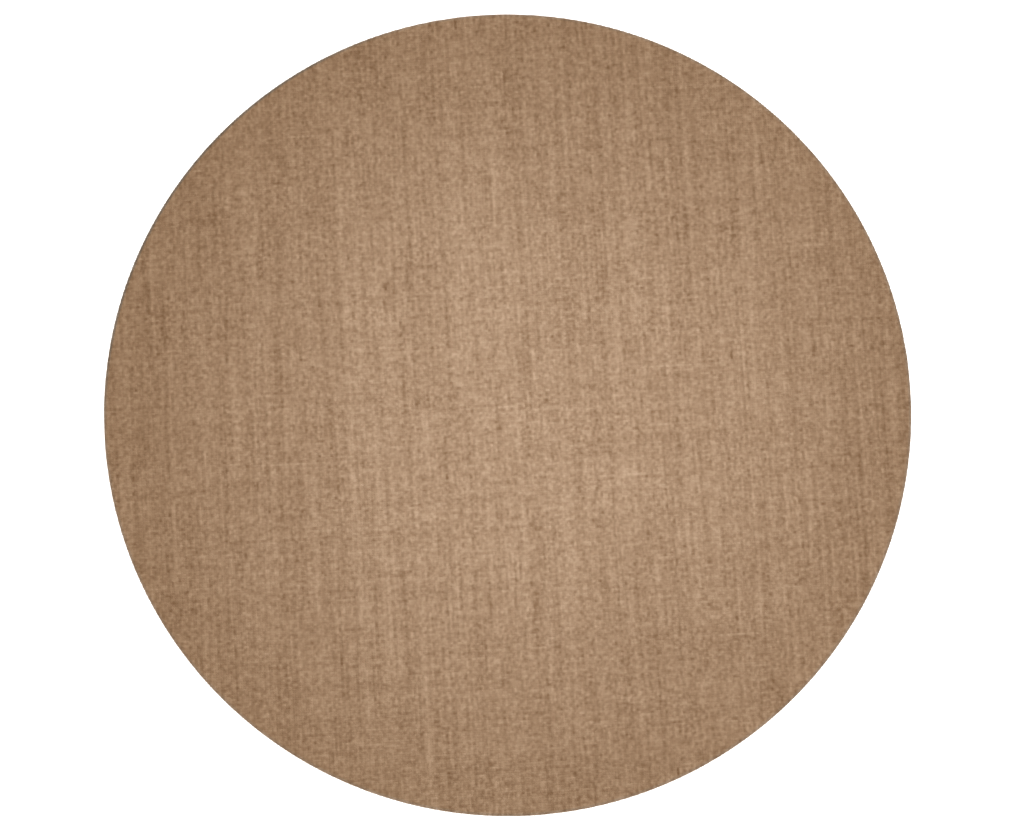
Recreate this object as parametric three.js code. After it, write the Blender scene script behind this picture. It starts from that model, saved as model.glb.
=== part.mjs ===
// A round sisal rug, lying flat.
//
// It is one woven piece: a disc of stiff cloth cut round, level underneath and on top,
// with its rim eased where the cut yarns bend down to the floor.
// Units are millimetres and +Z is up. The origin is the middle of the underside,
// so the rug lies on the plane z = 0. The warp yarns run along Y and the weft along X.

import * as THREE from 'three';

// Driving dimensions
const RUG_DIAMETER = 2000;
const RUG_THICKNESS = 7;
const TOP_EASE_WIDTH = 6;
const TOP_EASE_DROP = 4.5;
const UNDERSIDE_EASE = 1;

// Fineness of the solid
const ROUND_SEGMENTS = 192;
const TOP_EASE_STEPS = 6;
const UNDERSIDE_EASE_STEPS = 2;

// Finish
const SISAL_COLOUR = 0xb39478;
const SISAL_ROUGHNESS = 0.95;

const RUG_RADIUS = RUG_DIAMETER / 2;
const QUARTER_TURN = Math.PI / 2;

// Points of a quarter ellipse about (centreX, centreY), from startAngle on by a quarter turn.
function quarterEllipse(centreX, centreY, radiusX, radiusY, startAngle, steps) {
  const points = [];
  for (let step = 0; step <= steps; step += 1) {
    const angle = startAngle + (QUARTER_TURN * step) / steps;
    const x = centreX + radiusX * Math.cos(angle);
    const y = centreY + radiusY * Math.sin(angle);
    points.push(new THREE.Vector2(x, y));
  }
  return points;
}

// The rug's half section: out along the underside, up round the rim, back along the top.
function rugSection() {
  const underside = quarterEllipse(
    RUG_RADIUS - UNDERSIDE_EASE,
    UNDERSIDE_EASE,
    UNDERSIDE_EASE,
    UNDERSIDE_EASE,
    -QUARTER_TURN,
    UNDERSIDE_EASE_STEPS,
  );
  const rim = quarterEllipse(
    RUG_RADIUS - TOP_EASE_WIDTH,
    RUG_THICKNESS - TOP_EASE_DROP,
    TOP_EASE_WIDTH,
    TOP_EASE_DROP,
    0,
    TOP_EASE_STEPS,
  );
  const middleBelow = new THREE.Vector2(0, 0);
  const middleAbove = new THREE.Vector2(0, RUG_THICKNESS);
  return [middleBelow, ...underside, ...rim, middleAbove];
}

function makeRug() {
  const geometry = new THREE.LatheGeometry(rugSection(), ROUND_SEGMENTS);
  geometry.rotateX(QUARTER_TURN);
  const material = new THREE.MeshStandardMaterial({
    color: SISAL_COLOUR,
    roughness: SISAL_ROUGHNESS,
    metalness: 0,
  });
  const rug = new THREE.Mesh(geometry, material);
  rug.name = 'rug';
  return rug;
}

const roundSisalRug = new THREE.Group();
roundSisalRug.add(makeRug());

export default roundSisalRug;
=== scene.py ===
# A round rug of plainly woven sisal, lying flat, with the floor, the light and the camera that show it.
# Lengths are metres. The warp yarns run along Y and the weft yarns along X.
import math

import bpy
import numpy as np
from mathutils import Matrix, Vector


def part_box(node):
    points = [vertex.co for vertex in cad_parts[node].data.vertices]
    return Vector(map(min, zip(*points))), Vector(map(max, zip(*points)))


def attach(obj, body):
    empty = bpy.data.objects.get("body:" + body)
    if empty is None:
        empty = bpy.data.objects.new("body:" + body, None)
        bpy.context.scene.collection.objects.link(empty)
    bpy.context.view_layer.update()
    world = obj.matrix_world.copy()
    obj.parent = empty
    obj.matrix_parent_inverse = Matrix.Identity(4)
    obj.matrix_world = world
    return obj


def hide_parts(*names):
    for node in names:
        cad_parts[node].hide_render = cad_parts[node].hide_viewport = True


bl_info = {
    "name": "Round Sisal Rug",
    "version": (1, 0, 0),
    "blender": (4, 5, 0),
    "location": "View3D > Sidebar > Rug",
    "description": "Weaves a round sisal rug yarn by yarn and lights it from above",
    "category": "Object",
}

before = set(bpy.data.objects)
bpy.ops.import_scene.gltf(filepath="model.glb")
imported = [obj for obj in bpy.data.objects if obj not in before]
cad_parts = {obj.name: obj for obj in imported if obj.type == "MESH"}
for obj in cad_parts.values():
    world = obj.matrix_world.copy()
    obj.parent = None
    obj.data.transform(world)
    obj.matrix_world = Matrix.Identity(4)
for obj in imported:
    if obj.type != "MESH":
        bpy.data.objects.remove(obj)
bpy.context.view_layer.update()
RUG_LOW, RUG_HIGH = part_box("rug")
RUG_DIAMETER = RUG_HIGH.x - RUG_LOW.x
RUG_THICKNESS = RUG_HIGH.z - RUG_LOW.z

WEAVE_MAP = "weave"
BAKE_MAP = "OFBake"
WEAVE_SEED = 23

# The lattice has four points to each crossing of the yarns: the crown of the float, the middles
# of the two gaps beside it, and the pit in the corner.
POINTS_PER_YARN = 2

# Tones are in levels of brightness, of which the ramp reaches this many to either side of the middle
TONE_REACH = 30.0

# How far a noise texture spreads about its middle of a half
NOISE_SPREAD = 0.137

# Each layer of tones, each yarn and each float's fibres take their noise this far from the last
LAYER_STRIDE = 11.7
YARN_STRIDE = 7.31
FIBRE_STRIDE = 3.7

# Each yarn's plies and odd lengths start a little further on than its neighbour's, in yarns
YARN_STAGGER = 0.37

# Plies and fibres: how they slant, how many to a yarn's width, their tone and their height in metres
TWIST_SLANT = 0.35
FIBRE_SLANT = -0.8
PLIES_PER_YARN_WIDTH = 1.6
FIBRES_PER_YARN_WIDTH = 14.0
MEAN_PLY = 0.64
PLY_TONE = 7.0
FIBRE_TONE = 8.0
PLY_HEIGHT = 0.0003
FIBRE_HEIGHT = 0.0004
YARN_ROUNDNESS = 0.0004

# Roughness from the thin fibres to the thick ones, and how much the yarn shines
FIBRE_EXTREMES = (0.3, 0.7)
ROUGHNESS = (0.98, 0.86)
SHINE = 0.25

# A yarn shows where it floats, and this much of it through the yarn that covers it
HIDDEN_YARN_SHARE = 0.6

# How far each yarn keeps its own tone, in yarns, and the strength
WARP_TONES = ((2.8, 4.75),)
WEFT_TONES = ((1.7, 5.0), (25.0, 1.2))

# Size along the weft and along the warp in yarns, and the strength
FINE_MOTTLES = (
    (1.5, 1.5, 4.1),
    (4.0, 1.5, 2.0),
)
STREAKS = (
    (1.5, 25.0, 2.3),
    (1.5, 60.0, 2.4),
    (1.5, 400.0, 1.8),
    (6.0, 150.0, 0.9),
    (12.0, 400.0, 0.8),
    (150.0, 1.5, 1.1),
    (60.0, 12.0, 0.7),
)

# The cloth is rougher here and smoother there
CONTRAST_PATCH = 16.0
CONTRAST_RANGE = (0.8, 1.2)

# Odd threads: length in yarns, how many of all such lengths are odd, and the tone
WARP_ODDITIES = ((5.0, 0.00035, -32.0), (25.0, 0.0025, 11.0))
WEFT_ODDITIES = ((32.0, 0.0030, 12.0),)

# The cut edge of the cloth turns greyer over this stretch before the rim, unevenly from fibre to
# fibre, and keeps the yarn's own colour below these heights, so the underside isn't tinged
EDGE_BAND = (-0.0090, -0.0050)
EDGE_UNEVENNESS = 0.008
FOOT_BAND = (0.0, 0.0003)

# Painted shade: one stretch of the cut edge, the side of the rim turned from the light, is painted
# darker over this band. Its middle lies in this direction, anticlockwise from the weft, and it fades
# out between these angles to either side.
SHADED_EDGE_BAND = (-0.0090, -0.0062)
SHADED_EDGE_MIDDLE = math.radians(141.7)
SHADED_EDGE_FADE = (math.radians(40.0), math.radians(20.0))

# The bake map: the woven face fills most of it, the hidden walls a strip, the underside a corner
FACE_SHARE = 0.79
MAP_MARGIN = 0.005
WALL_STRIP = (0.801, 0.815)
UNDERSIDE_START = 0.82
UNDERSIDE_SHARE = 0.175

# Points of the cloth nearer to its edge than this lie on it
ON_EDGE = 1e-7


class RugSizes(bpy.types.PropertyGroup):
    """The rug's own sizes"""

    yarn_spacing: bpy.props.FloatProperty(
        name="Yarn spacing",
        description="From the middle of one yarn to the middle of the next, in warp and weft",
        default=0.006,
        min=0.003,
        unit="LENGTH",
    )
    tiles_across: bpy.props.IntProperty(
        name="Tiles across",
        description="The cloth is kept as this many tiles each way, so that each stays a light mesh",
        default=4,
        min=2,
    )
    gap_depth: bpy.props.FloatProperty(
        name="Gap depth",
        description="How far the gap beside a float lies below its crown",
        default=0.0010,
        unit="LENGTH",
    )
    pit_depth: bpy.props.FloatProperty(
        name="Pit depth",
        description="How far the pit between four floats lies below their crowns",
        default=0.0016,
        unit="LENGTH",
    )
    float_stretch: bpy.props.FloatProperty(
        name="Float stretch",
        description="How far each end of a float reaches over its neighbour's side",
        default=0.0006,
        unit="LENGTH",
    )
    yarn_wander: bpy.props.FloatProperty(
        name="Yarn wander",
        description="How far the yarns stray from straight lines",
        default=0.0010,
        unit="LENGTH",
    )
    yarn_unevenness: bpy.props.FloatProperty(
        name="Yarn unevenness",
        description="How much the crowns rise and fall where the yarn is thick or thin",
        default=0.00018,
        unit="LENGTH",
    )
    top_ease_width: bpy.props.FloatProperty(
        name="Edge ease width",
        description="Width of the rim that bends down",
        default=0.006,
        unit="LENGTH",
    )
    top_ease_drop: bpy.props.FloatProperty(
        name="Edge ease drop",
        description="How far the rim bends down before it stands upright",
        default=0.0045,
        unit="LENGTH",
    )
    underside_ease: bpy.props.FloatProperty(
        name="Underside ease",
        description="Radius of the turn from the rim to the underside",
        default=0.001,
        unit="LENGTH",
    )


class RugColours(bpy.types.PropertyGroup):
    """The colours of the sisal yarn, as they look in even light, and the painted shade on one stretch
    of its cut edge
    """

    dark_yarn: bpy.props.FloatVectorProperty(
        name="Dark yarn",
        description="The darkest stretches of yarn",
        default=(0.2643, 0.1508, 0.0774),
        size=3,
        subtype="COLOR",
    )
    middle_yarn: bpy.props.FloatVectorProperty(
        name="Middle yarn",
        description="Most of the yarn",
        default=(0.4508, 0.2961, 0.1850),
        size=3,
        subtype="COLOR",
    )
    light_yarn: bpy.props.FloatVectorProperty(
        name="Light yarn",
        description="The palest stretches of yarn",
        default=(0.6206, 0.4358, 0.2969),
        size=3,
        subtype="COLOR",
    )
    cut_edge: bpy.props.FloatVectorProperty(
        name="Cut edge",
        description="What the cut ends round the rim make of the yarn's colour, a little greyer",
        default=(0.89, 0.98, 1.10),
        size=3,
        subtype="COLOR",
    )
    # Painted shade: how much darker the stretch of the cut edge turned from the light is painted
    painted_edge_shade: bpy.props.FloatVectorProperty(
        name="Dark edge",
        description="What the darker stretch of the cut edge makes of it",
        default=(0.69, 0.77, 0.86),
        size=3,
        subtype="COLOR",
    )


class StageSettings(bpy.types.PropertyGroup):
    """The floor, the lamp and the camera"""

    floor_colour: bpy.props.FloatVectorProperty(
        name="Floor",
        description="Colour of the floor and the backdrop",
        default=(0.80, 0.80, 0.80),
        size=3,
        subtype="COLOR",
    )
    floor_glow: bpy.props.FloatProperty(
        name="Floor glow",
        description="How much the floor shines of itself, to stay pale outside the lamp's pool",
        default=1.0,
    )
    lamp_power: bpy.props.FloatProperty(
        name="Lamp power",
        description="Power of the soft lamp over the rug",
        default=16.5,
        unit="POWER",
    )
    lamp_size: bpy.props.FloatProperty(
        name="Lamp size",
        description="Width of the soft lamp, which is round",
        default=1.0,
        unit="LENGTH",
    )
    lamp_beam: bpy.props.FloatProperty(
        name="Lamp beam",
        description="Angle of the lamp's beam, past which its grid holds the light back",
        default=math.radians(45.7),
        subtype="ANGLE",
    )
    lamp_colour: bpy.props.FloatVectorProperty(
        name="Lamp colour",
        description="Colour of the soft lamp, a little cool",
        default=(0.735, 0.851, 0.993),
        size=3,
        subtype="COLOR",
    )
    lamp_height: bpy.props.FloatProperty(
        name="Lamp height",
        description="Height of the soft lamp over the floor",
        default=5.0,
        unit="LENGTH",
    )
    room_light: bpy.props.FloatVectorProperty(
        name="Room light",
        description="Warm light from all round, which fills in away from the lamp",
        default=(0.2875, 0.163, 0.0137),
        size=3,
        subtype="COLOR",
    )
    camera_distance: bpy.props.FloatProperty(
        name="Camera distance",
        description="From the camera to the middle of the rug",
        default=6.0,
        unit="LENGTH",
    )
    camera_elevation: bpy.props.FloatProperty(
        name="Camera elevation",
        description="How high the camera stands over the rug, where a right angle is straight above",
        default=math.radians(83.28),
        subtype="ANGLE",
    )
    weave_lean: bpy.props.FloatProperty(
        name="Weave lean",
        description="How far the weave is turned anticlockwise in the picture",
        default=math.radians(3.3),
        subtype="ANGLE",
    )


def smoothed_noise(rng, shape, over_first, over_second):
    """Random numbers with mean 0 and spread 1, smoothed over so many places along each axis."""
    first = np.fft.fftfreq(shape[0])[:, None] * over_first
    second = np.fft.rfftfreq(shape[1])[None, :] * over_second
    blur = np.exp(-2 * math.pi**2 * (first**2 + second**2))
    field = np.fft.irfft2(np.fft.rfft2(rng.standard_normal(shape)) * blur, s=shape)
    return (field - field.mean()) / field.std()


class RimProfile:
    """The path of the cloth's face in section: out along the top, round the rim, under its foot."""

    STEPS = 24
    # The weave's relief dies away over this stretch before the foot
    RELIEF_END = 0.002

    def __init__(self, sizes):
        radius = RUG_DIAMETER / 2
        turn = np.linspace(0, math.pi / 2, self.STEPS + 1)
        width, drop, foot = sizes.top_ease_width, sizes.top_ease_drop, sizes.underside_ease
        top_x = radius - width + width * np.sin(turn)
        top_z = RUG_THICKNESS - drop + drop * np.cos(turn)
        foot_x = radius - foot + foot * np.cos(turn)
        foot_z = foot - foot * np.sin(turn)
        self.x = np.concatenate([top_x, foot_x])
        self.z = np.concatenate([top_z, foot_z])
        steps = np.hypot(np.diff(self.x), np.diff(self.z))
        self.along = np.concatenate([[0.0], np.cumsum(steps)])
        self.start = radius - width
        self.flat_radius = self.start + self.along[-1]
        self.foot_radius = radius - foot
        slope_x = np.gradient(self.x, self.along)
        slope_z = np.gradient(self.z, self.along)
        self.out_x, self.out_z = -slope_z, slope_x

    def bend(self, flat, lift):
        """Points of the bent cloth, from flat points and their lift off the face."""
        reach = np.hypot(flat[:, 0], flat[:, 1])
        outward = flat / np.maximum(reach, 1e-9)[:, None]
        past = reach - self.start
        bent = past > 0
        fade = np.clip((self.flat_radius - reach) / self.RELIEF_END, 0, 1)
        lift = np.where(bent, lift * fade, lift)
        radius = np.where(bent, np.interp(past, self.along, self.x), reach)
        height = np.where(bent, np.interp(past, self.along, self.z), RUG_THICKNESS)
        push_out = np.where(bent, np.interp(past, self.along, self.out_x), 0) * lift
        push_up = np.where(bent, np.interp(past, self.along, self.out_z), 1) * lift
        points = np.empty((len(flat), 3))
        points[:, :2] = outward * (radius + push_out)[:, None]
        points[:, 2] = height + push_up
        return points


class Lattice:
    """The flat cloth as a lattice of points: where each lies, its lift, its yarn numbers, its kind."""

    # Over how many points yarns stray together, across them and along them
    STRAY_ACROSS, STRAY_ALONG = 5, 60
    # Over how many crossings a yarn stays thick or thin, across it and along it
    SLUB_ACROSS, SLUB_ALONG = 0.2, 5
    # A crown is this many spreads lower than the thickest yarn allows, which keeps the face level
    CROWN_HEADROOM = 2
    # The lattice reaches at least this far past the cloth
    OUTER_MARGIN = 0.002

    def __init__(self, sizes, rim):
        self.spacing = sizes.yarn_spacing
        tiles = sizes.tiles_across
        yarns = math.ceil(2 * (rim.flat_radius + self.OUTER_MARGIN) / self.spacing)
        self.tile_yarns = math.ceil(yarns / tiles / 2) * 2
        self.tiles = tiles
        self.yarns = self.tile_yarns * tiles
        self.side = self.yarns * POINTS_PER_YARN + 1
        rng = np.random.default_rng(WEAVE_SEED)
        step = self.spacing / POINTS_PER_YARN
        number = np.arange(self.side)
        middle = (self.side - 1) / 2
        across, along = np.meshgrid(number, number, indexing="ij")
        flat_x = (across - middle) * step
        flat_y = (along - middle) * step
        crown = (across % 2 == 1) & (along % 2 == 1)
        side_gap = (across % 2 == 0) & (along % 2 == 1)
        end_gap = (across % 2 == 1) & (along % 2 == 0)
        # A warp float lies on top where the numbers of warp and weft add up to an even number
        warp_on_top = (across // 2 + along // 2) % 2 == 0
        reach = sizes.float_stretch
        flat_x += np.where(side_gap, np.where(warp_on_top, reach, -reach), 0)
        flat_y += np.where(end_gap, np.where(warp_on_top, -reach, reach), 0)
        shape = (self.side, self.side)
        flat_x += sizes.yarn_wander * smoothed_noise(rng, shape, self.STRAY_ACROSS, self.STRAY_ALONG)
        flat_y += sizes.yarn_wander * smoothed_noise(rng, shape, self.STRAY_ALONG, self.STRAY_ACROSS)
        crossings = (self.yarns, self.yarns)
        warp_lift = smoothed_noise(rng, crossings, self.SLUB_ACROSS, self.SLUB_ALONG)
        weft_lift = smoothed_noise(rng, crossings, self.SLUB_ALONG, self.SLUB_ACROSS)
        crown_lift = np.where(warp_on_top[1::2, 1::2], warp_lift, weft_lift)
        lift = np.full(shape, -sizes.pit_depth)
        lift[side_gap | end_gap] = -sizes.gap_depth
        lift[1::2, 1::2] = sizes.yarn_unevenness * np.minimum(crown_lift - self.CROWN_HEADROOM, 0)
        self.flat = np.stack([flat_x.ravel(), flat_y.ravel()], axis=1)
        self.lift = lift.ravel()
        self.yarn = np.stack([across.ravel(), along.ravel()], axis=1) / POINTS_PER_YARN
        self.crown = crown.ravel()

    def triangles(self):
        """All the lattice's triangles, each quad cut from its crown to its pit, and their tiles."""
        squares = np.arange(self.side - 1)
        i, j = np.meshgrid(squares, squares, indexing="ij")
        i, j = i.ravel(), j.ravel()
        a = i * self.side + j
        b, c, d = a + self.side, a + self.side + 1, a + 1
        rising = (i + j) % 2 == 0
        first = np.where(rising[:, None], np.stack([a, b, c], 1), np.stack([a, b, d], 1))
        second = np.where(rising[:, None], np.stack([a, c, d], 1), np.stack([b, c, d], 1))
        tile_points = self.tile_yarns * POINTS_PER_YARN
        tile = (i // tile_points) * self.tiles + j // tile_points
        return np.concatenate([first, second]), np.concatenate([tile, tile])


class Cloth:
    """The lattice cut round: points, triangles and the tile of each triangle."""

    # A point this near the edge is moved onto it, so that no sliver is cut
    SNAP = 0.0006

    def __init__(self, sizes):
        self.rim = RimProfile(sizes)
        lattice = Lattice(sizes, self.rim)
        self.lattice = lattice
        radius = self.rim.flat_radius
        reach = np.hypot(lattice.flat[:, 0], lattice.flat[:, 1])
        on_edge = np.abs(reach - radius) < self.SNAP
        lattice.flat[on_edge] *= (radius / reach[on_edge])[:, None]
        inside = (reach < radius) | on_edge
        triangles, tile = lattice.triangles()
        count = inside[triangles].sum(axis=1)
        whole = count == 3
        parts = [triangles[whole]]
        part_tiles = [tile[whole]]
        self.cuts = {}
        flats, lifts, yarns = [lattice.flat], [lattice.lift], [lattice.yarn]
        self.total = len(lattice.flat)

        def cut(inner, outer):
            """The points where the edges from inner to outer points cross the rim."""
            found = np.empty(len(inner), np.int64)
            new_in, new_out = [], []
            for n, (p, q) in enumerate(zip(inner.tolist(), outer.tolist())):
                if on_edge[p]:
                    found[n] = p
                    continue
                if (p, q) not in self.cuts:
                    self.cuts[(p, q)] = self.total + len(new_in)
                    new_in.append(p)
                    new_out.append(q)
                found[n] = self.cuts[(p, q)]
            if new_in:
                p, q = lattice.flat[new_in], lattice.flat[new_out]
                way = q - p
                square = (way**2).sum(1)
                half = (p * way).sum(1)
                rest = (p**2).sum(1) - radius**2
                share = (-half + np.sqrt(half**2 - square * rest)) / square
                flats.append(p + share[:, None] * way)
                lifts.append(np.zeros(len(p)))
                start, end = lattice.yarn[new_in], lattice.yarn[new_out]
                yarns.append(start + share[:, None] * (end - start))
                self.total += len(new_in)
            return found

        for inner_count in (1, 2):
            crossing = triangles[count == inner_count]
            lone = inside[crossing] == (inner_count == 1)
            first = lone.argmax(axis=1)
            rows = np.arange(len(crossing))
            p = crossing[rows, first]
            q = crossing[rows, (first + 1) % 3]
            r = crossing[rows, (first + 2) % 3]
            if inner_count == 1:
                x, y = cut(p, q), cut(p, r)
                parts.append(np.stack([p, x, y], 1))
                part_tiles.append(tile[count == 1])
            else:
                x, y = cut(q, p), cut(r, p)
                parts.append(np.stack([q, r, y], 1))
                parts.append(np.stack([q, y, x], 1))
                part_tiles += [tile[count == 2]] * 2
        triangles = np.concatenate(parts)
        tile = np.concatenate(part_tiles)
        a, b, c = triangles.T
        real = (a != b) & (b != c) & (c != a)
        self.triangles, self.tile = triangles[real], tile[real]
        self.flat = np.concatenate(flats)
        self.lift = np.concatenate(lifts)
        self.yarn = np.concatenate(yarns)
        self.crown = np.zeros(len(self.flat), bool)
        self.crown[: len(lattice.crown)] = lattice.crown
        self.points = self.rim.bend(self.flat, self.lift)


def outline(triangles, count):
    """The points round the edge of a patch of triangles, in order, anticlockwise from above."""
    starts = triangles.ravel()
    ends = np.roll(triangles, -1, axis=1).ravel()
    forward = starts.astype(np.int64) * count + ends
    backward = ends.astype(np.int64) * count + starts
    lone = ~np.isin(forward, backward)
    following = dict(zip(starts[lone].tolist(), ends[lone].tolist()))
    if len(following) != lone.sum():
        raise ValueError("the cloth's edge touches itself")
    first = next(iter(following))
    loop = [first]
    while following[loop[-1]] != first:
        loop.append(following[loop[-1]])
    if len(loop) != len(following):
        raise ValueError("a tile of the cloth is in more than one part")
    return np.array(loop)


def flat_area(points):
    """Area inside a closed loop of flat points."""
    x, y = points[:, 0], points[:, 1]
    return abs(float((x * np.roll(y, -1) - np.roll(x, -1) * y).sum()) / 2)


def tile_mesh(name, cloth, tile):
    """One tile as a closed mesh: the woven face, walls where it meets the next tile, the underside."""
    lattice, rim = cloth.lattice, cloth.rim
    chosen = cloth.triangles[cloth.tile == tile]
    used, faces = np.unique(chosen, return_inverse=True)
    faces = faces.reshape(-1, 3)
    flat, yarn = cloth.flat[used], cloth.yarn[used]
    loop = outline(faces, len(used))
    loop_flat = flat[loop]
    shrink = rim.foot_radius / rim.flat_radius
    at_foot = np.hypot(loop_flat[:, 0], loop_flat[:, 1]) > rim.flat_radius - ON_EDGE
    below = np.where(at_foot, loop, 0)
    below[~at_foot] = len(used) + np.arange((~at_foot).sum())
    under_flat = loop_flat[~at_foot] * shrink
    under = np.column_stack([under_flat, np.zeros(len(under_flat))])
    points = np.concatenate([cloth.points[used], under])
    after = np.roll(np.arange(len(loop)), -1)
    walls = []
    for n, m in enumerate(after):
        corners = (loop[n], below[n], below[m], loop[m])
        ring = [corners[k] for k in range(4) if corners[k] != corners[k - 1]]
        if len(ring) > 2:
            walls.append([int(k) for k in ring])
    underside = below[::-1]

    polygons = [faces.ravel()] + [np.array(w) for w in walls] + [underside]
    totals = np.concatenate([
        np.full(len(faces), 3),
        [len(w) for w in walls],
        [len(underside)],
    ]).astype(np.int32)
    corners = np.concatenate(polygons).astype(np.int32)
    starts = np.concatenate([[0], np.cumsum(totals)[:-1]]).astype(np.int32)

    mesh = bpy.data.meshes.new(name)
    mesh.vertices.add(len(points))
    mesh.vertices.foreach_set("co", points.astype(np.float32).ravel())
    mesh.loops.add(len(corners))
    mesh.loops.foreach_set("vertex_index", corners)
    mesh.polygons.add(len(totals))
    mesh.polygons.foreach_set("loop_start", starts)
    mesh.update(calc_edges=True)

    # Yarn numbers for the pattern
    middle = lattice.yarns / 2
    under_yarn = under_flat / lattice.spacing + middle
    all_yarn = np.concatenate([yarn, under_yarn])
    weave = all_yarn[corners]
    underside_corners = slice(len(corners) - len(underside), len(corners))
    foot_points = points[corners[underside_corners], :2]
    weave[underside_corners] = foot_points / lattice.spacing + middle
    layer = mesh.uv_layers.new(name=WEAVE_MAP)
    layer.uv.foreach_set("vector", weave.astype(np.float32).ravel())

    # The bake map
    low = flat.min(axis=0)
    size = (flat.max(axis=0) - low).max()
    bake = np.empty((len(corners), 2))
    face_room = FACE_SHARE - MAP_MARGIN
    face_corners = slice(0, 3 * len(faces))
    bake[face_corners] = MAP_MARGIN + (flat[corners[face_corners]] - low) / size * face_room
    strides = np.linalg.norm(loop_flat[after] - loop_flat, axis=1)
    travelled = np.concatenate([[0.0], np.cumsum(strides)]) / strides.sum()
    at = 3 * len(faces)
    for n, m in enumerate(after):
        spots = (
            (loop[n], 0, travelled[n]),
            (below[n], 1, travelled[n]),
            (below[m], 1, travelled[n + 1]),
            (loop[m], 0, travelled[n + 1]),
        )
        ring = [spots[k] for k in range(4) if spots[k][0] != spots[k - 1][0]]
        if len(ring) > 2:
            for _, edge, share in ring:
                bake[at] = (WALL_STRIP[edge], MAP_MARGIN + share * face_room)
                at += 1
    bake[at:] = UNDERSIDE_START + (foot_points / shrink - low) / size * UNDERSIDE_SHARE
    layer = mesh.uv_layers.new(name=BAKE_MAP)
    layer.uv.foreach_set("vector", bake.astype(np.float32).ravel())
    mesh.uv_layers.active = mesh.uv_layers[WEAVE_MAP]
    mesh.uv_layers[WEAVE_MAP].active_render = True

    # Each float is smooth within itself, with a crease in the gap round it
    crown = np.zeros(len(points), bool)
    crown[: len(used)] = cloth.crown[used]
    edges = np.empty(2 * len(mesh.edges), np.int32)
    mesh.edges.foreach_get("vertices", edges)
    edges = edges.reshape(-1, 2)
    creased = ~(crown[edges[:, 0]] | crown[edges[:, 1]])
    mesh.attributes.new("sharp_edge", "BOOLEAN", "EDGE").data.foreach_set("value", creased)
    flat_shaded = np.zeros(len(totals), bool)
    flat_shaded[len(faces):] = True
    mesh.attributes.new("sharp_face", "BOOLEAN", "FACE").data.foreach_set("value", flat_shaded)
    mesh.validate()
    extent = flat.max(axis=0) - low
    return mesh, extent, flat_area(loop_flat)


class NodeBench:
    """A material's nodes, with short calls to add them. Arguments are numbers or node outputs."""

    def __init__(self, material):
        material.use_nodes = True
        self.tree = material.node_tree
        self.tree.nodes.clear()

    def node(self, kind, **settings):
        made = self.tree.nodes.new(kind)
        for key, value in settings.items():
            setattr(made, key, value)
        return made

    def feed(self, socket, value):
        if isinstance(value, bpy.types.NodeSocket):
            self.tree.links.new(value, socket)
        elif value is not None:
            socket.default_value = value

    def maths(self, operation, *values, clamp=False):
        made = self.node("ShaderNodeMath", operation=operation, use_clamp=clamp)
        for socket, value in zip(made.inputs, values):
            self.feed(socket, value)
        return made.outputs[0]

    def point(self, x, y, z=0.0):
        made = self.node("ShaderNodeCombineXYZ")
        for socket, value in zip(made.inputs, (x, y, z)):
            self.feed(socket, value)
        return made.outputs[0]

    def noise(self, place, scale=1.0, detail=2.0, roughness=0.5):
        made = self.node("ShaderNodeTexNoise", noise_dimensions="3D")
        self.feed(made.inputs["Vector"], place)
        self.feed(made.inputs["Scale"], scale)
        self.feed(made.inputs["Detail"], detail)
        self.feed(made.inputs["Roughness"], roughness)
        return made.outputs["Fac"]

    def choose(self, share, low, high):
        """low where share is 0, high where it is 1."""
        made = self.node("ShaderNodeMix", data_type="FLOAT")
        self.feed(made.inputs["Factor"], share)
        self.feed(made.inputs["A"], low)
        self.feed(made.inputs["B"], high)
        return made.outputs["Result"]

    def vector(self, operation, *values):
        """A vector sum, or the number that a length or a dot product gives."""
        made = self.node("ShaderNodeVectorMath", operation=operation)
        for socket, value in zip(made.inputs, values):
            self.feed(socket, value)
        gives_number = operation in ("LENGTH", "DOT_PRODUCT")
        return made.outputs["Value" if gives_number else "Vector"]

    def tint(self, share, colour, tinge):
        """The colour as it is where share is 0, multiplied by the tinge where it is 1."""
        made = self.node("ShaderNodeMix", data_type="RGBA", blend_type="MULTIPLY")
        self.feed(made.inputs["Factor"], share)
        self.feed(made.inputs["A"], colour)
        self.feed(made.inputs["B"], (*tinge, 1.0))
        return made.outputs["Result"]

    def spread(self, value, low, high, to_low=0.0, to_high=1.0):
        made = self.node("ShaderNodeMapRange", interpolation_type="SMOOTHSTEP")
        for socket, number in zip(made.inputs, (value, low, high, to_low, to_high)):
            self.feed(socket, number)
        return made.outputs[0]


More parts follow.
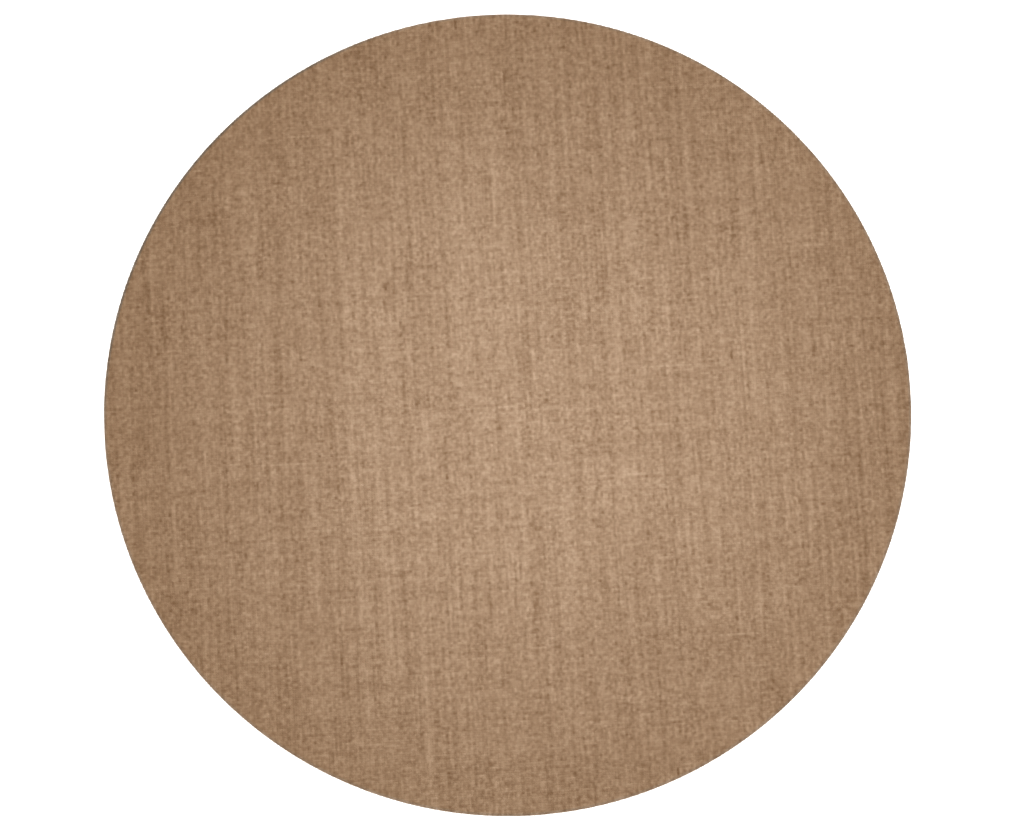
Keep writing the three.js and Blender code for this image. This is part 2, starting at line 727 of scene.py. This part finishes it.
def sisal_material(colours):
    """Undyed sisal: each yarn has its own tone, which drifts along it, over fibres and their twist."""
    material = bpy.data.materials.new("sisal")
    bench = NodeBench(material)
    maths, noise, point = bench.maths, bench.noise, bench.point

    yarns = bench.node("ShaderNodeUVMap", uv_map=WEAVE_MAP)
    split = bench.node("ShaderNodeSeparateXYZ")
    bench.feed(split.inputs[0], yarns.outputs["UV"])
    warp_place, weft_place = split.outputs["X"], split.outputs["Y"]
    warp_number = maths("FLOOR", warp_place)
    weft_number = maths("FLOOR", weft_place)
    numbers = maths("ADD", warp_number, weft_number)
    weft_on_top = maths("FLOORED_MODULO", numbers, 2.0)
    warp_share = bench.choose(weft_on_top, 1.0, HIDDEN_YARN_SHARE)
    weft_share = bench.choose(weft_on_top, HIDDEN_YARN_SHARE, 1.0)

    def stretched(place, size):
        return maths("DIVIDE", place, size)

    def levels(fac, strength):
        """A noise as a tone, in levels of brightness to either side of nothing."""
        gain = strength / NOISE_SPREAD
        return maths("MULTIPLY_ADD", fac, gain, -0.5 * gain)

    layers = iter(range(1, 100))

    def patch_tone(across_size, along_size, strength):
        place = point(
            stretched(warp_place, across_size),
            stretched(weft_place, along_size),
            LAYER_STRIDE * next(layers),
        )
        return levels(noise(place, detail=0.0), strength)

    # Each yarn's own tone
    tone = 0.0
    yarn_sets = (
        (warp_number, weft_place, warp_share, WARP_TONES),
        (weft_number, warp_place, weft_share, WEFT_TONES),
    )
    for number, place_along, share, tones in yarn_sets:
        for length, strength in tones:
            apart = maths("MULTIPLY", number, YARN_STRIDE)
            place = point(apart, stretched(place_along, length), LAYER_STRIDE * next(layers))
            own = levels(noise(place, detail=0.0), strength)
            tone = maths("MULTIPLY_ADD", own, share, tone)
    for mottle in FINE_MOTTLES:
        tone = maths("ADD", tone, patch_tone(*mottle))
    rough_place = point(warp_place, weft_place, LAYER_STRIDE * next(layers))
    rough = noise(rough_place, 1 / CONTRAST_PATCH, detail=0.0)
    tone = maths("MULTIPLY", tone, bench.choose(rough, *CONTRAST_RANGE))
    for streak in STREAKS:
        tone = maths("ADD", tone, patch_tone(*streak))

    # Odd dark slubs and pale threads
    odd_sets = (
        (warp_number, weft_place, warp_share, WARP_ODDITIES),
        (weft_number, warp_place, weft_share, WEFT_ODDITIES),
    )
    for number, place_along, share, oddities in odd_sets:
        for length, part, strength in oddities:
            along_yarn = maths("MULTIPLY_ADD", number, YARN_STAGGER, stretched(place_along, length))
            chance = bench.node("ShaderNodeTexWhiteNoise", noise_dimensions="3D")
            spot = point(number, maths("FLOOR", along_yarn), LAYER_STRIDE * next(layers))
            bench.feed(chance.inputs["Vector"], spot)
            odd = maths("LESS_THAN", chance.outputs["Value"], part)
            inside = maths("FRACT", along_yarn)
            # Nothing at either end, and a quarter in the middle
            taper = maths("MULTIPLY", maths("SUBTRACT", 1.0, inside), inside)
            amount = maths("MULTIPLY", maths("MULTIPLY", odd, taper), share)
            tone = maths("MULTIPLY_ADD", amount, 4 * strength, tone)

    # Place on the float that is on top: across it from -1 to 1, and along its yarn in yarn widths
    warp_across = maths("SUBTRACT", maths("FRACT", warp_place), 0.5)
    weft_across = maths("SUBTRACT", maths("FRACT", weft_place), 0.5)
    across = maths("MULTIPLY", bench.choose(weft_on_top, warp_across, weft_across), 2.0)
    along = bench.choose(weft_on_top, weft_place, warp_place)

    # Plies and fibres, which wind round the yarn
    own_number = bench.choose(weft_on_top, warp_number, weft_number)
    lay = maths("MULTIPLY_ADD", across, TWIST_SLANT, along)
    ply_place = maths("MULTIPLY", lay, PLIES_PER_YARN_WIDTH)
    ply_turn = maths("MULTIPLY_ADD", own_number, YARN_STAGGER, ply_place)
    ply = maths("ABSOLUTE", maths("SINE", maths("MULTIPLY", ply_turn, math.pi)))
    fibre_place = point(
        maths("MULTIPLY", lay, FIBRES_PER_YARN_WIDTH),
        maths("MULTIPLY_ADD", across, FIBRE_SLANT, along),
        maths("MULTIPLY", numbers, FIBRE_STRIDE),
    )
    fibre = noise(fibre_place, roughness=0.6)
    tone = maths("ADD", tone, levels(fibre, FIBRE_TONE))
    tone = maths("ADD", tone, maths("MULTIPLY_ADD", ply, PLY_TONE, -MEAN_PLY * PLY_TONE))
    roundness = maths("MULTIPLY", maths("MULTIPLY", across, across), -YARN_ROUNDNESS)
    ply_lift = maths("MULTIPLY_ADD", ply, PLY_HEIGHT, roundness)
    height = maths("MULTIPLY_ADD", fibre, FIBRE_HEIGHT, ply_lift)

    ramp = bench.node("ShaderNodeValToRGB")
    shift = maths("MULTIPLY_ADD", tone, 0.5 / TONE_REACH, 0.5)
    bench.feed(ramp.inputs[0], shift)
    stops = ramp.color_ramp.elements
    stops[0].position, stops[1].position = 0.0, 1.0
    stops[0].color = (*colours.dark_yarn, 1.0)
    stops[1].color = (*colours.light_yarn, 1.0)
    middle = stops.new(0.5)
    middle.color = (*colours.middle_yarn, 1.0)

    # The cut edge, and the stretch of it darkened with painted shade where the rim is turned from the
    # light
    place = bench.node("ShaderNodeTexCoord").outputs["Object"]
    outward = bench.vector("MULTIPLY", place, (1.0, 1.0, 0.0))
    from_middle = bench.vector("LENGTH", outward)
    towards_shade = (math.cos(SHADED_EDGE_MIDDLE), math.sin(SHADED_EDGE_MIDDLE), 0.0)
    facing = maths("DIVIDE", bench.vector("DOT_PRODUCT", outward, towards_shade), from_middle)
    in_shaded_stretch = bench.spread(facing, *(math.cos(angle) for angle in SHADED_EDGE_FADE))
    past_rim = maths("SUBTRACT", from_middle, RUG_DIAMETER / 2 + EDGE_UNEVENNESS / 2)
    past_rim = maths("MULTIPLY_ADD", fibre, EDGE_UNEVENNESS, past_rim)
    over_foot = bench.spread(bench.vector("DOT_PRODUCT", place, (0.0, 0.0, 1.0)), *FOOT_BAND)
    at_edge = maths("MULTIPLY", bench.spread(past_rim, *EDGE_BAND), over_foot)
    in_painted_shade = maths("MULTIPLY", bench.spread(past_rim, *SHADED_EDGE_BAND), in_shaded_stretch)
    in_painted_shade = maths("MULTIPLY", in_painted_shade, over_foot)
    colour = bench.tint(at_edge, ramp.outputs["Color"], colours.cut_edge)
    # Painted shade along the stretch of the rim turned from the light
    colour = bench.tint(in_painted_shade, colour, colours.painted_edge_shade)

    bump = bench.node("ShaderNodeBump")
    bump.inputs["Strength"].default_value = 1.0
    bump.inputs["Distance"].default_value = 1.0
    bench.feed(bump.inputs["Height"], height)

    shader = bench.node("ShaderNodeBsdfPrincipled")
    bench.feed(shader.inputs["Base Color"], colour)
    bench.feed(shader.inputs["Roughness"], bench.spread(fibre, *FIBRE_EXTREMES, *ROUGHNESS))
    shader.inputs["Specular IOR Level"].default_value = SHINE
    bench.feed(shader.inputs["Normal"], bump.outputs[0])
    output = bench.node("ShaderNodeOutputMaterial")
    bench.feed(output.inputs["Surface"], shader.outputs[0])
    return material


class RUG_OT_weave_cloth(bpy.types.Operator):
    """Weave the rug's cloth over the CAD disc, tile by tile"""

    bl_idname = "rug.weave_cloth"
    bl_label = "Weave the Cloth"

    def execute(self, context):
        sizes = context.scene.rug_sizes
        cloth = Cloth(sizes)
        material = sisal_material(context.scene.rug_colours)
        for row in range(sizes.tiles_across):
            for column in range(sizes.tiles_across):
                tile = column * sizes.tiles_across + row
                name = f"woven_tile_r{row + 1}_c{column + 1}"
                mesh, extent, area = tile_mesh(name, cloth, tile)
                mesh.materials.append(material)
                piece = bpy.data.objects.new(name, mesh)
                context.scene.collection.objects.link(piece)
                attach(piece, "root")
                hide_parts("rug")
        return {"FINISHED"}


def plain_material(name, colour, glow):
    material = bpy.data.materials.new(name)
    bench = NodeBench(material)
    shader = bench.node("ShaderNodeBsdfPrincipled")
    shader.inputs["Base Color"].default_value = (*colour, 1.0)
    shader.inputs["Roughness"].default_value = 0.9
    shader.inputs["Specular IOR Level"].default_value = 0.0
    shader.inputs["Emission Color"].default_value = (1.0, 1.0, 1.0, 1.0)
    shader.inputs["Emission Strength"].default_value = glow
    output = bench.node("ShaderNodeOutputMaterial")
    bench.feed(output.inputs["Surface"], shader.outputs[0])
    return material


class RUG_OT_set_stage(bpy.types.Operator):
    """Set out the floor, the backdrop, the lamp and the camera"""

    bl_idname = "rug.set_stage"
    bl_label = "Set the Stage"

    # The photo's frame and the rug's place in it, in pixels
    PICTURE_WIDTH = 1012
    PICTURE_HEIGHT = 825
    RUG_MIDDLE = (507.6, 415.1)
    RUG_HALF_WIDTH = 404.3

    # Where the lamp hangs over the rug, to the right and up in the picture, in rug radii
    LAMP_OFFSET = (0.105, -0.024)

    # The floor is a round plate with a low wall. It lies a hair under the rug, so that it and the
    # rug's underside never share a plane.
    FLOOR_RADIUS = 14.0
    FLOOR_LEVEL = -0.0003
    WALL_HEIGHT = 3.0
    WALL_SIDES = 96

    SENSOR_WIDTH = 36.0
    VIEW_REACH = 60.0

    def execute(self, context):
        stage = context.scene.rug_stage
        pale = plain_material("floor", stage.floor_colour, stage.floor_glow)
        self.lay_floor(context, pale)
        self.hang_lamp(context, stage)
        self.place_camera(context, stage)
        view = context.scene.view_settings
        view.view_transform = "Standard"
        view.look = "None"
        return {"FINISHED"}

    def lay_floor(self, context, pale):
        sides = self.WALL_SIDES
        turn = np.linspace(0, 2 * math.pi, sides, endpoint=False)
        ring = [(self.FLOOR_RADIUS * math.cos(t), self.FLOOR_RADIUS * math.sin(t)) for t in turn]
        points = [(x, y, self.FLOOR_LEVEL) for x, y in ring]
        points += [(x, y, self.WALL_HEIGHT) for x, y in ring]
        faces = [list(range(sides))]
        for n in range(sides):
            m = (n + 1) % sides
            faces.append([n, n + sides, m + sides, m])
        mesh = bpy.data.meshes.new("floor")
        mesh.from_pydata(points, [], faces)
        mesh.materials.append(pale)
        floor = bpy.data.objects.new("floor", mesh)
        context.scene.collection.objects.link(floor)

    def picture_axes(self, stage):
        """Which way the picture's right, its top and the camera lie, seen from the rug."""
        lean, lift = stage.weave_lean, stage.camera_elevation
        level, height = math.cos(lift), math.sin(lift)
        back = Vector((-math.sin(lean) * level, -math.cos(lean) * level, height))
        right = Vector((math.cos(lean), -math.sin(lean), 0.0))
        return right, back.cross(right), back

    def hang_lamp(self, context, stage):
        lamp = bpy.data.lights.new("soft_lamp", "AREA")
        lamp.shape = "DISK"
        lamp.size = stage.lamp_size
        lamp.spread = stage.lamp_beam
        lamp.energy = stage.lamp_power
        lamp.color = stage.lamp_colour
        hung = bpy.data.objects.new("soft_lamp", lamp)
        right, up, _ = self.picture_axes(stage)
        aside, ahead = (share * RUG_DIAMETER / 2 for share in self.LAMP_OFFSET)
        hung.location = right * aside + up * ahead
        hung.location.z = stage.lamp_height
        hung.visible_camera = False
        context.scene.collection.objects.link(hung)
        world = bpy.data.worlds.new("studio")
        world.use_nodes = True
        sky = world.node_tree.nodes["Background"]
        sky.inputs["Color"].default_value = (*stage.room_light, 1.0)
        sky.inputs["Strength"].default_value = 1.0
        context.scene.world = world

    def place_camera(self, context, stage):
        camera = bpy.data.cameras.new("camera")
        seen = bpy.data.objects.new("camera", camera)
        context.scene.collection.objects.link(seen)
        right, up, back = self.picture_axes(stage)
        distance = stage.camera_distance
        pixels_per_metre = self.RUG_HALF_WIDTH / (RUG_DIAMETER / 2)
        camera.sensor_width = self.SENSOR_WIDTH
        camera.lens = pixels_per_metre * distance * camera.sensor_width / self.PICTURE_WIDTH
        off_x = (self.RUG_MIDDLE[0] - self.PICTURE_WIDTH / 2) / pixels_per_metre
        off_y = (self.PICTURE_HEIGHT / 2 - self.RUG_MIDDLE[1]) / pixels_per_metre
        # Seen aslant, the near half looks the larger, which lowers the middle of the outline
        lift = stage.camera_elevation
        off_y += (RUG_DIAMETER / 2) ** 2 * math.sin(lift) * math.cos(lift) / distance
        target = Vector((0.0, 0.0, RUG_THICKNESS)) - right * off_x - up * off_y
        seen.location = target + back * distance
        seen.rotation_euler = back.to_track_quat("Z", "Y").to_euler()
        camera.clip_end = self.VIEW_REACH
        context.scene.camera = seen


class RUG_PT_sidebar(bpy.types.Panel):
    """The rug's steps and settings"""

    bl_idname = "RUG_PT_sidebar"
    bl_label = "Round Sisal Rug"
    bl_space_type = "VIEW_3D"
    bl_region_type = "UI"
    bl_category = "Rug"

    def draw(self, context):
        layout = self.layout
        groups = (
            (context.scene.rug_sizes, RUG_OT_weave_cloth),
            (context.scene.rug_colours, None),
            (context.scene.rug_stage, RUG_OT_set_stage),
        )
        for group, operator in groups:
            column = layout.column(align=True)
            for name in group.__annotations__:
                column.prop(group, name)
            if operator:
                layout.operator(operator.bl_idname)


CLASSES = (
    RugSizes,
    RugColours,
    StageSettings,
    RUG_OT_weave_cloth,
    RUG_OT_set_stage,
    RUG_PT_sidebar,
)


def register():
    for cls in CLASSES:
        bpy.utils.register_class(cls)
    bpy.types.Scene.rug_sizes = bpy.props.PointerProperty(type=RugSizes)
    bpy.types.Scene.rug_colours = bpy.props.PointerProperty(type=RugColours)
    bpy.types.Scene.rug_stage = bpy.props.PointerProperty(type=StageSettings)


def unregister():
    del bpy.types.Scene.rug_stage
    del bpy.types.Scene.rug_colours
    del bpy.types.Scene.rug_sizes
    for cls in reversed(CLASSES):
        bpy.utils.unregister_class(cls)


def main():
    register()
    bpy.ops.rug.weave_cloth()
    bpy.ops.rug.set_stage()


if __name__ == "__main__":
    main()
